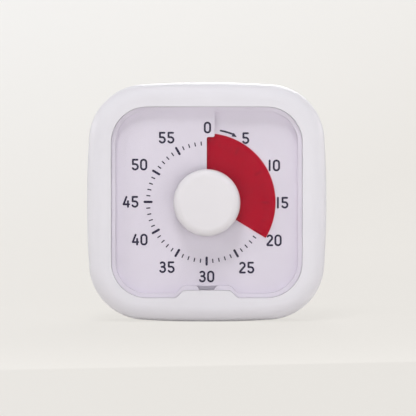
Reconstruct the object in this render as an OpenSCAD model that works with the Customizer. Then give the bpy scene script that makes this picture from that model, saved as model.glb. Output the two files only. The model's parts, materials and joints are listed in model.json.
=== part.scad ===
// Visual countdown timer: a square case with rounded corners stands upright, facing -Y.
// Bench frame of the sub-parts: the case lies on its back, the dial axis is +Z towards the
// viewer, +Y is twelve o'clock and z = 0 is the rear face. stand_up() turns it upright and puts
// the origin under the middle of the case, on the supporting surface.

/* [Case] */
// Width and height of the case
case_w = 140; // [136:1:150]
// Depth of the case without the knob
case_d = 36; // [36:1:40]
// Distance of the corner arc centres from the dial axis
corner_c = 35.65; // [34:0.05:37]
// Wall thickness of both housings
wall = 2.2; // [2:0.1:2.6]
// Rounding of the front edge
front_r = 9; // [7:0.5:10]
// Rounding of the rear edge
rear_r = 3.5; // [2.5:0.5:3.5]
// Depth of the rear housing, up to the seam
seam_z = 13; // [13:0.5:15]
// Height of the tongue that enters the front housing
tongue_h = 3; // [2:0.5:4]
// Depth of the flat land under the bowed base
base_land = 0.3; // [0.2:0.1:0.5]

/* [Window and lens] */
// Width and height of the window
window_w = 111.4; // [108:0.2:112]
// Corner radius of the window
window_r = 21; // [18:0.5:24]
// Width of the raised step at the bottom of the window, at its foot
notch_w = 37.8; // [30:0.2:40]
// Width of the same step along its top
notch_top_w = 25.6; // [20:0.2:28]
// Height of the step
notch_h = 4.4; // [3:0.2:5]
// Thickness of the clear cover
lens_t = 1.5; // [1.2:0.1:1.8]
// Depth of the cover's face below the bezel
lens_drop = 1; // [0.6:0.1:1.4]
// Gap all round the cover
lens_gap = 0.15; // [0.1:0.05:0.4]
// Width of the two snap tabs
tab_w = 5.3; // [4:0.1:7]
// Height of the snap tabs above the dial axis
tab_y = 22.5; // [15:0.5:30]

/* [Dial and disc] */
// Rise of the dial in one turn
dial_rise = 2.2; // [2.2:0.1:2.4]
// Thickness of the dial plate
dial_t = 1; // [0.8:0.1:1]
// Depth of the dial's lowest edge below the bezel
dial_drop = 7.4; // [7.2:0.1:7.6]
// Width of the raised frame that the cover lies on, with the gap beside it
rim_w = 2.6; // [2.4:0.1:3]
// Radius of the coloured disc
disc_r = 40; // [38:0.5:42]
// Thickness of the disc's film
film_t = 0.4; // [0.3:0.05:0.4]
// Gap between the film and the dial
film_gap = 0.4; // [0.3:0.05:0.4]
// Radius where the upper flap's tab begins
flap_r = 38.1; // [36:0.1:39]
// Reach of the tab past the slit
flap_tab = 4.6; // [3:0.1:6]
// Rounding of the tab's corners
flap_round = 1; // [0.4:0.1:1.4]
// Minutes set at rest
rest_minutes = 20; // [0:5:60]

/* [Knob] */
// Diameter of the knob
knob_d = 38.8; // [34:0.2:42]
// Height of the knob's face in front of the bezel
knob_h = 9; // [8:0.5:11]
// Rounding of the knob's shoulder
knob_r = 4.6; // [3:0.2:5]
// Radius of the spindle
spindle_r = 2.5; // [2.3:0.1:2.7]

/* [Movement] */
// Width and height of the movement's box
move_w = 60; // [60:1:64]
// Gear module
gear_m = 0.4; // [0.38:0.01:0.42]
// Tooth counts of the four wheels, from the centre wheel to the intermediate wheel
centre_teeth = 64; // [60:1:66]
third_teeth = 60; // [56:1:60]
second_teeth = 48; // [44:1:48]
middle_teeth = 40; // [36:1:40]
// Teeth of every pinion
pinion_teeth = 8; // [8:1:8]

/* [Stand, door and switch] */
// Width of the folding leg
leg_w = 30; // [26:1:32]
// Length of the leg from its pin to its tip
leg_l = 52; // [48:1:53]
// Thickness of the leg
leg_t = 3.6; // [3:0.2:3.8]
// Width of the battery door
door_w = 61; // [60:1:64]
// Travel of the volume slider to each side
slide_travel = 3; // [2:0.5:3]

/* [Hidden] */
$fn = 64;

// Outline of the case: four sides bowed about far centres, four corner arcs tangent to them.
half = case_w / 2;
bow_a = 2 * atan(1 / 31);
reach = corner_c / sin(bow_a);
bow_k = reach * cos(bow_a) - corner_c;
side_r = bow_k + half;
corner_r = side_r - reach;
seam_lap = 0.5;
tongue_t = 1.2;
fit_gap = 0.12;
seam_gap = 0.25;

// Levels along the dial axis
bezel_t = 2.4;
lens_z = case_d - lens_drop - lens_t;
dial_z = case_d - dial_drop;
ledge_z = dial_z - 2;
film_rest = rest_minutes / 60;
film_z = dial_z + film_gap + dial_rise * (film_rest - 1);
knob_z = case_d + knob_h;
base_h = half - base_land;
mid_y = knob_z / 2;

// Clearances
run_gap = 0.05;
slack = 0.3;

module stand_up() {
  translate([0, mid_y, base_h]) rotate([90, 0, 0]) children();
}

// Section of the case's edge, with rounded corners at the outer end
module edge_profile(x0, x1, z0, z1, r0, r1) {
  difference() {
    translate([x0, z0]) square([x1 - x0, z1 - z0]);
    if (r0 > 0) difference() {
      translate([x1 - r0, z0 - 1]) square([r0 + 1, r0 + 1]);
      translate([x1 - r0, z0 + r0]) circle(r0);
    }
    if (r1 > 0) difference() {
      translate([x1 - r1, z1 - r1]) square([r1 + 1, r1 + 1]);
      translate([x1 - r1, z1 - r1]) circle(r1);
    }
  }
}

// Solid of the case's outline moved inwards, from z0 to z1, with rounded edges r0 and r1
module case_solid(inset, z0, z1, r0 = 0, r1 = 0) {
  core = corner_c + 4;
  translate([-core, -core, z0]) cube([2 * core, 2 * core, z1 - z0]);
  for (q = [0:3]) rotate(90 * q) {
    translate([corner_c, corner_c, 0])
      rotate_extrude(start = bow_a - seam_lap, angle = 90 - 2 * (bow_a - seam_lap))
        edge_profile(0, corner_r - inset, z0, z1, r0, r1);
    translate([-bow_k, 0, 0])
      rotate_extrude(start = -bow_a, angle = 2 * bow_a, $fn = 720)
        edge_profile(reach - 2, side_r - inset, z0, z1, r0, r1);
  }
}

// Raised step at the bottom of the window, with S-shaped flanks. An inset lifts it and leaves its
// width as it is, so that the two flanks stay parallel to those of the window.
module notch_2d(inset) {
  foot = notch_w / 2;
  top = notch_top_w / 2;
  low = -window_w / 2 - notch_h;
  y0 = -window_w / 2 + inset;
  steps = 8;
  flank = [for (i = [0:steps]) [foot - (foot - top) * i / steps,
                                y0 + notch_h * (1 - cos(180 * i / steps)) / 2]];
  polygon(concat([[-foot, low], [foot, low]], flank,
                 [for (i = [steps:-1:0]) [-flank[i][0], flank[i][1]]]));
}

// Window outline moved inwards
module window_2d(inset) {
  w = window_w - 2 * inset;
  r = window_r - inset;
  difference() {
    union() {
      square([w - 2 * r, w], center = true);
      square([w, w - 2 * r], center = true);
      for (x = [-1, 1], y = [-1, 1]) translate([x * (w / 2 - r), y * (w / 2 - r)]) circle(r);
    }
    notch_2d(inset);
  }
}

module window_solid(inset, z0, z1) {
  translate([0, 0, z0]) linear_extrude(z1 - z0) window_2d(inset);
}

module window_ring(inset0, inset1, z0, z1) {
  translate([0, 0, z0]) linear_extrude(z1 - z0) difference() {
    window_2d(inset0);
    window_2d(inset1);
  }
}

module block(x0, x1, y0, y1, z0, z1) {
  translate([x0, y0, z0]) cube([x1 - x0, y1 - y0, z1 - z0]);
}

// Housing screws: pilot bosses in the front housing, counterbores in the rear
screw_r = 1.3;
head_r = 2.5;
head_z = 2.4;
boss_r = 3.6;
boss_clear = 1.2;
boss_low = seam_z + tongue_h;
boss_top = case_d - bezel_t - 1.6;
screw_c = corner_c + (corner_r - wall - boss_r - boss_clear) / sqrt(2);
module at_screws() {
  for (x = [-1, 1], y = [-1, 1]) translate([x * screw_c, y * screw_c, 0]) children();
}

module front_housing() color("#e4e1e6") stand_up() {
  difference() {
    union() {
      difference() {
        case_solid(0, seam_z + seam_gap, case_d, 0, front_r);
        case_solid(wall - fit_gap, seam_z - 1, case_d - bezel_t, 0, front_r - wall);
      }
      window_ring(-1.8, 0, ledge_z - 1.6, case_d - 1);
      window_ring(-1.8, rim_w - 0.2, ledge_z - 1.6, ledge_z);
      at_screws() translate([0, 0, boss_low]) cylinder(r = boss_r, h = boss_top - boss_low);
    }
    window_solid(0, ledge_z, case_d + 1);
    at_screws() translate([0, 0, boss_low - 1]) cylinder(r = screw_r - 0.2, h = 9);
    for (s = [-1, 1]) translate([s * (window_w / 2 + 0.5), tab_y, tab_z])
      cube([2, tab_w + 0.8, tab_t + 0.5], center = true);
    // Reliefs at the ends of the snap tabs
    for (s = [-1, 1], e = [-1, 1]) translate([s * window_w / 2, tab_y + e * tab_w / 2, lens_z])
      cylinder(r = relief_r, h = case_d, $fn = 24);
    block(-half, half, -half - 1, -base_h, seam_z - 1, case_d);
  }
}

// Stand recess, battery pocket and other features of the rear
leg_foot = 10;
leg_y = leg_l + leg_foot - half;
leg_pin_z = 2.3;
recess_z = leg_t + 0.8;
pin_r = 1;
cell_y = 40.5;
cell_r = 7.25;
cell_z = 10.6;
cell_l = 50.5;
door_t = 2.4;
door_pin_r = 0.8;
door_pin_z = 1.4;
door_y0 = cell_y - 9.6;
door_y1 = cell_y + 9.6;
pocket_w = door_w - 1;
pocket_top = 17;
pocket_y = 8.3;
hanger_y = half - 13;
hanger_r = 4;
hanger_slot = 2;
hanger_rise = 6.5;
hanger_deep = 6;
cup_h = 7.4;
cup_wall = 4;
magnet_r = 6;
magnet_t = 3;
magnet_z = 0.8;
magnet_x = 45;
magnet_y = 14;

// The sounder and the volume switch lie below the movement's two lower corners
beside = 6;
below = 8;
buzzer_x = -move_w / 2 - beside;
buzzer_y = -move_w / 2 - below;
buzzer_r = 11;
buzzer_h = 4.2;
sound_ring = 6;
sound_r = 0.9;
switch_x = move_w / 2 + beside;
switch_y = -move_w / 2 - below;
switch_w = 15.2;
switch_h = 8.8;
rail_gap = 0.2;
rail_t = 1.6;

// Posts of the movement
post_x = 33;
post_y = 22;
post_z = recess_z + 2.4;
module at_magnets() {
  for (x = [-1, 1], y = [-1, 1]) translate([x * magnet_x, y * magnet_y, 0]) children();
}
module at_posts() {
  for (x = [-1, 1], y = [-1, 1]) translate([x * post_x, y * post_y, 0]) children();
}

module rear_housing() color("#e1dee3") stand_up() {
  ear = 3;
  difference() {
    union() {
      difference() {
        union() {
          case_solid(0, 0, seam_z, rear_r, 0);
          case_solid(wall, seam_z - 1, seam_z + tongue_h);
        }
        case_solid(wall, wall, seam_z - 4);
        case_solid(wall + tongue_t, seam_z - 5, seam_z + tongue_h + 1);
      }
      // Stand recess walls and floor
      block(-leg_w / 2 - 3.4, leg_w / 2 + 3.4, leg_y - leg_l - 2, leg_y + 5.2, 1, recess_z + 1.8);
      // Battery pocket
      block(-pocket_w / 2 - ear, pocket_w / 2 + ear, cell_y - 11.4, cell_y + 11.4, 1, door_t + 1.4);
      block(-pocket_w / 2 - 1.6, pocket_w / 2 + 1.6, cell_y - pocket_y - 1.6,
            cell_y + pocket_y + 1.6, 1, pocket_top + 2.4);
      at_screws() translate([0, 0, 1]) cylinder(r = boss_r, h = seam_z + tongue_h - 1);
      at_posts() translate([0, 0, 1]) cylinder(r = 3, h = post_z - 1);
      at_magnets() translate([0, 0, 1]) cylinder(r = magnet_r + 1.4, h = magnet_t + 0.4);
      translate([buzzer_x, buzzer_y, 1]) cylinder(r = buzzer_r + 1.6, h = 4.4);
      // Hanger: a cup behind the keyhole that the nail's head lies in
      translate([0, hanger_y + 1.6, 1]) cylinder(r = hanger_r + cup_wall, h = cup_h - 1);
      // Rails of the volume switch
      for (s = [-1, 1]) translate([switch_x, switch_y + s * (switch_h / 2 + rail_gap + rail_t / 2), 4.5])
        cube([switch_w + 0.8, rail_t, 7], center = true);
    }
    // Recess of the folding leg, its pin and a finger notch
    block(-leg_w / 2 - 0.6, leg_w / 2 + 0.6, leg_y - leg_l - 0.6, leg_y + 3, -1, recess_z);
    translate([0, leg_y, leg_pin_z]) rotate([0, 90, 0])
      cylinder(r = pin_r, h = leg_w + 5, center = true);
    translate([0, leg_y - leg_l, -1]) cylinder(r = 5, h = recess_z);
    // Door opening, its pivots and the pocket
    block(-door_w / 2 - 0.2, door_w / 2 + 0.2, door_y0, door_y1 + 0.4, -1, door_t + slack);
    translate([0, door_y1 - 1.4, door_pin_z]) rotate([0, 90, 0])
      cylinder(r = door_pin_r + run_gap, h = door_w + 2.6, center = true);
    block(-pocket_w / 2, pocket_w / 2, cell_y - pocket_y, cell_y + pocket_y, -1, pocket_top + 1.2);
    translate([0, door_y0 + 3, -1]) cylinder(r = 6, h = 2.4);
    // Screws
    at_screws() {
      translate([0, 0, -1]) cylinder(r = head_r + 0.3, h = head_z + 5);
      translate([0, 0, -1]) cylinder(r = screw_r + 0.2, h = seam_z + 5);
    }
    at_posts() translate([0, 0, 3]) cylinder(r = 0.8, h = post_z);
    at_magnets() translate([0, 0, magnet_z]) cylinder(r = magnet_r + 0.1, h = magnet_t + 1);
    // Buzzer seat and the sound holes
    translate([buzzer_x, buzzer_y, wall]) cylinder(r = buzzer_r + 0.1, h = buzzer_h);
    translate([buzzer_x, buzzer_y, -1]) {
      cylinder(r = sound_r, h = wall + 2, $fn = 24);
      for (a = [0:45:315]) rotate(a) translate([sound_ring, 0, 0])
        cylinder(r = sound_r, h = wall + 2, $fn = 24);
    }
    // Keyhole, with room behind its slot for the head of the nail
    translate([0, hanger_y, -1]) cylinder(r = hanger_r, h = hanger_deep + 1);
    block(-hanger_slot, hanger_slot, hanger_y, hanger_y + hanger_rise, -1, wall);
    translate([0, hanger_y + hanger_rise, -1]) cylinder(r = hanger_slot, h = wall + 1);
    block(-hanger_r, hanger_r, hanger_y, hanger_y + hanger_rise - 1, wall, hanger_deep);
    // Slot of the volume slider
    block(switch_x - slide_travel - 2.3, switch_x + slide_travel + 2.3, switch_y - 1.7,
          switch_y + 1.7, -1, 4);
    block(-half, half, -half - 1, -base_h, -1, seam_z + 0.01);
  }
}

// Four self-tapping screws with cross recesses, drawn once
module screw(r, len, head, head_h, z) {
  translate([0, 0, z]) difference() {
    union() {
      cylinder(r = head, h = head_h);
      translate([0, 0, head_h]) cylinder(r = r, h = len);
    }
    for (a = [0, 90]) rotate(a) translate([0, 0, 0.3])
      cube([2 * head * 0.62, 0.7, 1], center = true);
  }
}

module housing_screws() color("#8a8d90") stand_up() {
  at_screws() screw(screw_r - 0.2, 16, head_r, 2, head_z + 2);
}

// Clear cover: a sheet that lies on the dial's frame and snaps in by two tabs
tab_t = 1;
tab_z = lens_z + 0.7;
relief_r = 0.4;
lens_hole_r = 6.4;
module lens() color("#dfe9ee", 0.3) stand_up() {
  difference() {
    union() {
      window_solid(lens_gap, lens_z, lens_z + lens_t);
      for (s = [-1, 1]) translate([s * window_w / 2, tab_y, tab_z])
        cube([1.4, tab_w, tab_t], center = true);
    }
    translate([0, 0, lens_z - 1]) cylinder(r = lens_hole_r, h = lens_t + 2);
    pry_notch(lens_z - 1, lens_z + lens_t + 1);
  }
}

// Place at the step where a blade lifts the cover out
pry_w = 12.4;
pry_foot_w = 6;
pry_y = -window_w / 2 + notch_h;
module pry_notch(z0, z1) {
  x0 = pry_foot_w / 2;
  x1 = pry_w / 2;
  translate([0, 0, z0]) linear_extrude(z1 - z0)
    polygon([[-x0, pry_y - 1], [x0, pry_y - 1], [x1, pry_y + rim_w + 0.4],
             [-x1, pry_y + rim_w + 0.4]]);
}

// Height of the helical dial above its lowest edge after phi degrees clockwise
function rise(phi) = dial_rise * phi / 360;

// Sheet that winds clockwise round the dial axis from phi0 to phi1 and rises as it goes.
// Its underside lies t below its top, or at the flat level floor_z when one is given.
module helical_sheet(phi0, phi1, r0, r1, z, t, floor_z = -1) {
  n = round((phi1 - phi0) / 5);
  at = [for (i = [0:n]) phi0 + (phi1 - phi0) * i / n];
  points = [for (p = at) each [
      [r0 * sin(p), r0 * cos(p), floor_z < 0 ? z + rise(p) - t : floor_z],
      [r1 * sin(p), r1 * cos(p), floor_z < 0 ? z + rise(p) - t : floor_z],
      [r1 * sin(p), r1 * cos(p), z + rise(p)],
      [r0 * sin(p), r0 * cos(p), z + rise(p)]]];
  sides = [for (i = [0:n - 1]) let (a = 4 * i, b = a + 4) each [
      [a + 3, a + 2, b + 2], [a + 3, b + 2, b + 3],
      [a, b, b + 1], [a, b + 1, a + 1],
      [a + 1, b + 1, b + 2], [a + 1, b + 2, a + 2],
      [a, a + 3, b + 3], [a, b + 3, b]]];
  last = 4 * n;
  polyhedron(points, concat(sides, [[0, 1, 2], [0, 2, 3],
    [last, last + 3, last + 2], [last, last + 2, last + 1]]), convexity = 6);
}

// Corner of radius r between two straight edges, with the arc's centre at the far end
module corner_2d(r) {
  difference() {
    square(r);
    translate([r, r]) circle(r);
  }
}

// What is cut away past the upper flap's edge, seen from the front
module past_flap_2d() {
  wide = 16;
  far = window_w / 2 + 10;
  difference() {
    translate([0, 5]) square([wide, flap_r - 5]);
    translate([0, flap_r]) mirror([0, 1]) corner_2d(flap_round);
  }
  translate([flap_tab, flap_r - 1]) square([wide - flap_tab, far - flap_r]);
  translate([flap_tab, flap_r]) mirror([1, 0]) corner_2d(flap_round);
}

// Dial: one turn of a shallow ramp, so that its two flaps leave a slit at twelve o'clock. It
// hangs in a raised frame that stands on the housing's ledge.
dial_hole_r = 13.4;
pry_floor = 0.9;
module dial_plate() color("#dbd4df") stand_up() {
  apart = dial_z + 0.6;
  intersection() {
    difference() {
      helical_sheet(-5, 370, dial_hole_r, 0.72 * window_w, dial_z, dial_t);
      translate([0, 0, apart]) linear_extrude(dial_rise + dial_t) past_flap_2d();
    }
    window_solid(rim_w - 0.3, ledge_z - 1, case_d);
  }
  difference() {
    window_ring(lens_gap, rim_w, ledge_z, lens_z);
    pry_notch(ledge_z + pry_floor, lens_z + 1);
  }
}

// Coloured film: a turn of the same helix, in front of the dial from twelve o'clock to the set
// minutes and behind it for the rest of the turn
hub_seat_r = 12.6;
hub_neck_r = 6;
module time_film() color("#a61f2a") stand_up() {
  rotate(-360 * film_rest) helical_sheet(0, 359, hub_neck_r + 0.1, disc_r, film_z + film_t, film_t);
}

// Hub: slides on the spindle's flat and carries the film on a helical seat
module disc_hub() color("#d8d4da") stand_up() {
  seat = film_z - 1.2;
  foot = seat - 0.4;
  top = film_z + dial_rise + 2.1;
  difference() {
    union() {
      rotate(-360 * film_rest)
        helical_sheet(0, 359, hub_neck_r - 1, hub_seat_r, film_z, 0, seat);
      translate([0, 0, foot]) cylinder(r = hub_neck_r, h = top - foot);
    }
    translate([0, 0, foot - 1]) d_shaft(spindle_r + run_gap, top - foot + 2);
  }
}

// Round bar with one flat
module d_shaft(r, h) {
  difference() {
    cylinder(r = r, h = h);
    translate([-r, r * 0.72, -1]) cube([2 * r, r, h + 2]);
  }
}

// Knob: a hollow cap with a flat face, a rounded shoulder and a boss for the spindle
module knob() color("#e3e0e4") stand_up() {
  r = knob_d / 2;
  skirt_z = lens_z + lens_t + 0.7;
  boss = 5.6;
  difference() {
    rotate_extrude() edge_profile(0, r, skirt_z, knob_z, 0.4, knob_r);
    difference() {
      rotate_extrude() edge_profile(0, r - 2, skirt_z - 1, knob_z - 2, 0, knob_r - 2);
      cylinder(r = boss, h = knob_z);
      for (a = [30:60:330]) rotate(a) block(0, r, -0.6, 0.6, skirt_z + 2, knob_z);
    }
    cylinder(r = spindle_r, h = spindle_top);
  }
  difference() {
    translate([0, 0, lens_z - 0.1]) cylinder(r = boss, h = skirt_z - lens_z + 1);
    d_shaft(spindle_r, knob_z);
  }
}

// Spindle: thin arbor in the movement, stout bar with a flat in front of it
spindle_top = knob_z - 4;
arbor_r = 1.2;
floor_z = post_z + 1.6;
cam_z = floor_z + 8.9;
module spindle() color("#b9bcc0") stand_up() {
  translate([0, 0, cam_z]) d_shaft(spindle_r, spindle_top - cam_z);
  translate([0, 0, post_z + 0.2]) cylinder(r = arbor_r, h = cam_z - post_z);
}

// Cam that lets the alarm contact drop at zero
cam_r = 7.5;
module alarm_cam() color("#e8e4d4") stand_up() {
  difference() {
    union() {
      translate([0, 0, cam_z]) cylinder(r = cam_r, h = 1.4);
      translate([0, 0, cam_z]) cylinder(r = 4, h = 2);
    }
    translate([0, 0, cam_z - 1]) d_shaft(spindle_r, 4);
    rotate(45 - 360 * film_rest) translate([cam_r, 0, cam_z]) cylinder(r = 1.6, h = 5, center = true);
  }
}

// Coil of round wire that widens or narrows as it rises
module coil(r0, r1, wire, h, turns) {
  n = round(turns * 16);
  k = 6;
  points = [for (i = [0:n], j = [0:k - 1])
    let (a = 360 * turns * i / n, r = r0 + (r1 - r0) * i / n + wire * cos(360 * j / k))
    [r * cos(a), r * sin(a), wire + (h - 2 * wire) * i / n + wire * sin(360 * j / k)]];
  sides = [for (i = [0:n - 1], j = [0:k - 1])
    let (a = i * k + j, b = i * k + (j + 1) % k) each [[a, b + k, a + k], [a, b, b + k]]];
  polyhedron(points, concat(sides, [[for (j = [k - 1:-1:0]) j]],
    [[for (j = [0:k - 1]) n * k + j]]), convexity = 8);
}

// Friction clutch between the centre wheel and the cam
module clutch_spring() color("#c9b37a") stand_up() {
  translate([0, 0, wheel_z[0] + 1.6]) coil(2.6, 3.4, 0.25, cam_z - wheel_z[0] - 1.65, 2.5);
}

module retaining_clip() color("#9a9da1") stand_up() {
  translate([0, 0, floor_z + 0.1]) difference() {
    cylinder(r = 2.6, h = 0.5);
    translate([0, 0, -1]) cylinder(r = arbor_r, h = 3);
    translate([0.6, -0.5, -1]) cube([4, 1, 3]);
  }
}

// Movement: box, cover and gear train
wheel_z = [floor_z + 5.4, floor_z + 3.8, floor_z + 2.2, floor_z + 1];
wheel_t = 1;
lid_z = cam_z + 2.3;
lid_t = 1.8;
function pitch_r(n) = gear_m * n / 2;
function step_to(from, wheel, aim) = from
  + (pitch_r(wheel) + pitch_r(pinion_teeth)) * [cos(aim), sin(aim)];
aims = [225, 110, 60, 45];
centre_at = [0, 0];
third_at = step_to(centre_at, centre_teeth, aims[0]);
second_at = step_to(third_at, third_teeth, aims[1]);
middle_at = step_to(second_at, second_teeth, aims[2]);
rotor_at = step_to(middle_at, middle_teeth, aims[3]);
post_r = 0.7;

module movement_base() color("#3f4246") stand_up() {
  w = move_w / 2;
  difference() {
    union() {
      block(-w, w, -w, w, post_z, lid_z);
      at_posts() translate([0, 0, post_z]) cylinder(r = 3.6, h = 1.8);
      for (x = [-1, 1]) block(x > 0 ? w - 1 : -post_x, x > 0 ? post_x : 1 - w, -post_y - 3.6,
                              3.6 - post_y, post_z, post_z + 1.8);
      for (x = [-1, 1]) block(x > 0 ? w - 1 : -post_x, x > 0 ? post_x : 1 - w, post_y - 3.6,
                              3.6 + post_y, post_z, post_z + 1.8);
    }
    block(1.6 - w, w - 1.6, 1.6 - w, w - 1.6, floor_z, lid_z + 1);
    at_posts() translate([0, 0, post_z - 1]) cylinder(r = 1.2, h = 4);
    cylinder(r = arbor_r + run_gap, h = lid_z);
    for (p = [third_at, second_at, middle_at, rotor_at]) translate([p[0], p[1], post_z + 0.6])
      cylinder(r = post_r + run_gap, h = 4);
  }
}

module movement_cover() color("#4a4d52") stand_up() {
  w = move_w / 2;
  difference() {
    union() {
      block(-w, w, -w, w, lid_z, lid_z + lid_t);
      for (p = [third_at, second_at, middle_at, rotor_at]) translate([p[0], p[1], lid_z - 1.6])
        cylinder(r = 1.8, h = 2);
    }
    translate([0, 0, lid_z - 1]) cylinder(r = spindle_r + 0.6, h = lid_t + 2);
    for (p = [third_at, second_at, middle_at, rotor_at]) translate([p[0], p[1], lid_z - 2])
      cylinder(r = post_r + run_gap, h = 2.6);
  }
}

module movement_screws() color("#8a8d90") stand_up() {
  at_posts() translate([0, 0, post_z + 1.8]) mirror([0, 0, 1])
    screw(0.75, 5, 2, 1.2, -1.2);
}

// Flat gear with slim straight-flanked teeth; one tooth, or one gap, points to aim
module gear(teeth, z, t, aim, gap = 0, slim = 1) {
  r = pitch_r(teeth);
  p = 360 / teeth;
  shape = [[-0.27, -1.1], [-0.2, 0], [-0.09, 0.8], [0.09, 0.8], [0.2, 0], [0.27, -1.1]];
  translate([0, 0, z]) rotate(aim + gap * p / 2) linear_extrude(t)
    polygon([for (i = [0:teeth - 1], s = shape)
      let (a = p * (i + s[0] * slim), q = r + s[1] * gear_m) [q * cos(a), q * sin(a)]]);
}

// Wheel, pinion and arbor moulded as one piece
module train_wheel(at, teeth, level, aim_wheel, aim_pinion, spokes = 4) {
  r = pitch_r(teeth);
  translate([at[0], at[1], 0]) {
    difference() {
      gear(teeth, wheel_z[level], wheel_t, aim_wheel);
      for (i = [0:spokes - 1]) rotate(360 * i / spokes + 20)
        translate([r * 0.55, 0, wheel_z[level] - 1]) cylinder(r = r * 0.22, h = 3, $fn = 24);
    }
    gear(pinion_teeth, wheel_z[level] + wheel_t, wheel_z[level - 1] - wheel_z[level],
         aim_pinion, 1, 0.8);
    translate([0, 0, post_z + 0.8]) cylinder(r = post_r, h = lid_z - post_z - 1.2);
  }
}

module centre_wheel() color("#e6d9b8") stand_up() {
  difference() {
    union() {
      difference() {
        gear(centre_teeth, wheel_z[0], wheel_t, aims[0]);
        for (a = [0:90:270]) rotate(a) translate([7.6, 0, wheel_z[0] - 1])
          cylinder(r = 2.4, h = 3, $fn = 24);
      }
      translate([0, 0, floor_z + 1]) cylinder(r = 1.9, h = wheel_z[0] - floor_z);
      translate([0, 0, wheel_z[0]]) cylinder(r = 4, h = 1.6);
    }
    translate([0, 0, floor_z]) cylinder(r = arbor_r + run_gap, h = cam_z - floor_z);
  }
}

module third_wheel() color("#e6d9b8") stand_up() {
  train_wheel(third_at, third_teeth, 1, aims[1], aims[0] + 180);
}

module second_wheel() color("#e6d9b8") stand_up() {
  train_wheel(second_at, second_teeth, 2, aims[2], aims[1] + 180);
}

module middle_wheel() color("#e6d9b8") stand_up() {
  train_wheel(middle_at, middle_teeth, 3, aims[3], aims[2] + 180);
}

// Rotor: a magnet above the pinion that starts the train
rotor_r = 3;
rotor_z = floor_z + 4.4;
module rotor() color("#6d7075") stand_up() {
  translate([rotor_at[0], rotor_at[1], 0]) {
    gear(pinion_teeth, wheel_z[3], rotor_z - wheel_z[3], aims[3] + 180, 1, 0.8);
    translate([0, 0, rotor_z]) cylinder(r = rotor_r, h = 2.6);
    translate([0, 0, post_z + 0.8]) cylinder(r = post_r, h = lid_z - post_z - 1.2);
  }
}

coil_x = 21.5;
coil_z = rotor_z + 1.3;
coil_y0 = -12;
coil_y1 = 12;
module stator() color("#9ea2a6") stand_up() {
  t = 1.2;
  z = coil_z - t / 2;
  difference() {
    union() {
      block(rotor_at[0] - 6, coil_x + 3, rotor_at[1] - 4.6, rotor_at[1] + 4.6, z, z + t);
      block(coil_x - 1.4, coil_x + 1.4, coil_y0 - 3, rotor_at[1], z, z + t);
    }
    translate([rotor_at[0], rotor_at[1], 0]) cylinder(r = rotor_r + 0.5, h = 40);
    translate([rotor_at[0], rotor_at[1], 0]) block(-0.3, 0.3, rotor_r, 6, 0, 40);
  }
}

module at_coil(y) {
  translate([coil_x, y, coil_z]) rotate([-90, 0, 0]) children();
}

module coil_bobbin() color("#d9d2b0") stand_up() {
  difference() {
    union() {
      at_coil(coil_y0) cylinder(r = 2.6, h = coil_y1 - coil_y0);
      at_coil(coil_y0) cylinder(r = 5, h = 1);
      at_coil(coil_y1 - 1) cylinder(r = 5, h = 1);
    }
    block(coil_x - 1.4, coil_x + 1.4, coil_y0 - 3, rotor_at[1], coil_z - 0.6, coil_z + 0.6);
  }
}

module coil_winding() color("#b06a35") stand_up() {
  at_coil(coil_y0 + 1) difference() {
    cylinder(r = 4.5, h = coil_y1 - coil_y0 - 2);
    translate([0, 0, -1]) cylinder(r = 2.6, h = coil_y1 - coil_y0);
  }
}

// Circuit board in the lower right corner of the movement, on two feet
board_z = floor_z + 0.6;
board_t = 1;
board_w = 23.6;
board_h = 11.6;
board_edge = move_w / 2 - 2.4;
module at_board() {
  translate([board_edge - board_w, -board_edge, board_z + board_t]) children();
}

module circuit_board() color("#2f6b48") stand_up() {
  at_board() difference() {
    union() {
      block(0, board_w, 0, board_h, -board_t, 0);
      for (x = [2, board_w - 3.6]) block(x, x + 2, 2.6, 4.6, floor_z - board_z - board_t, -board_t);
    }
    translate([board_w - 2.6, board_h - 2.5, -board_t - 1]) cylinder(r = 1, h = board_t + 2);
  }
}

module chip() color("#1d1e20") stand_up() {
  at_board() translate([board_w * 0.34, board_h / 2, 0]) cylinder(r1 = 3, r2 = 2, h = 1.1);
}

module quartz_crystal() color("#c4c7cb") stand_up() {
  at_board() translate([board_w * 0.55, 3.2, 1]) rotate([0, 90, 0]) cylinder(r = 1, h = 6.2);
}

// Contact leaf that rides on the cam
module alarm_contact() color("#c9a64a") stand_up() {
  block(cam_r + 0.3, cam_r + 0.6, -14, 6, cam_z + 0.2, cam_z + 1.2);
  block(cam_r + 0.3, cam_r + 4, -14.4, -14, floor_z, cam_z + 1.2);
}

// Sounder in its can, over the holes in the rear wall
module buzzer() color("#26282b") stand_up() {
  translate([buzzer_x, buzzer_y, 0]) difference() {
    translate([0, 0, wall]) cylinder(r = buzzer_r, h = buzzer_h);
    translate([0, 0, wall - 1]) cylinder(r = buzzer_r - 2, h = 1.6);
  }
}

// AA cell, spring contact and plate contact
module battery_cell() color("#5d6b78") stand_up() {
  translate([-cell_l / 2 + 1.2, cell_y, cell_z]) rotate([0, 90, 0]) {
    cylinder(r = cell_r, h = cell_l - 1);
    cylinder(r = 2.7, h = cell_l);
  }
}

contact_x = pocket_w / 2;
module battery_spring() color("#c3c6ca") stand_up() {
  gap = contact_x - cell_l / 2 + 1.2;
  translate([-contact_x, cell_y, cell_z]) rotate([0, 90, 0]) {
    translate([-6, -7, 0]) cube([12, 14, 0.5]);
    translate([0, 0, 0.4]) coil(5.4, 3, 0.4, gap - 0.45, 3);
  }
}

module battery_plate() color("#c3c6ca") stand_up() {
  x = cell_l / 2 + 1.2;
  block(contact_x - 0.5, contact_x, cell_y - 7, cell_y + 7, cell_z - 6, cell_z + 6);
  translate([x, cell_y, cell_z]) rotate([0, 90, 0]) cylinder(r = 3, h = contact_x - x);
}

module magnets() color("#75787c") stand_up() {
  at_magnets() translate([0, 0, magnet_z]) cylinder(r = magnet_r, h = magnet_t);
}

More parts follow.
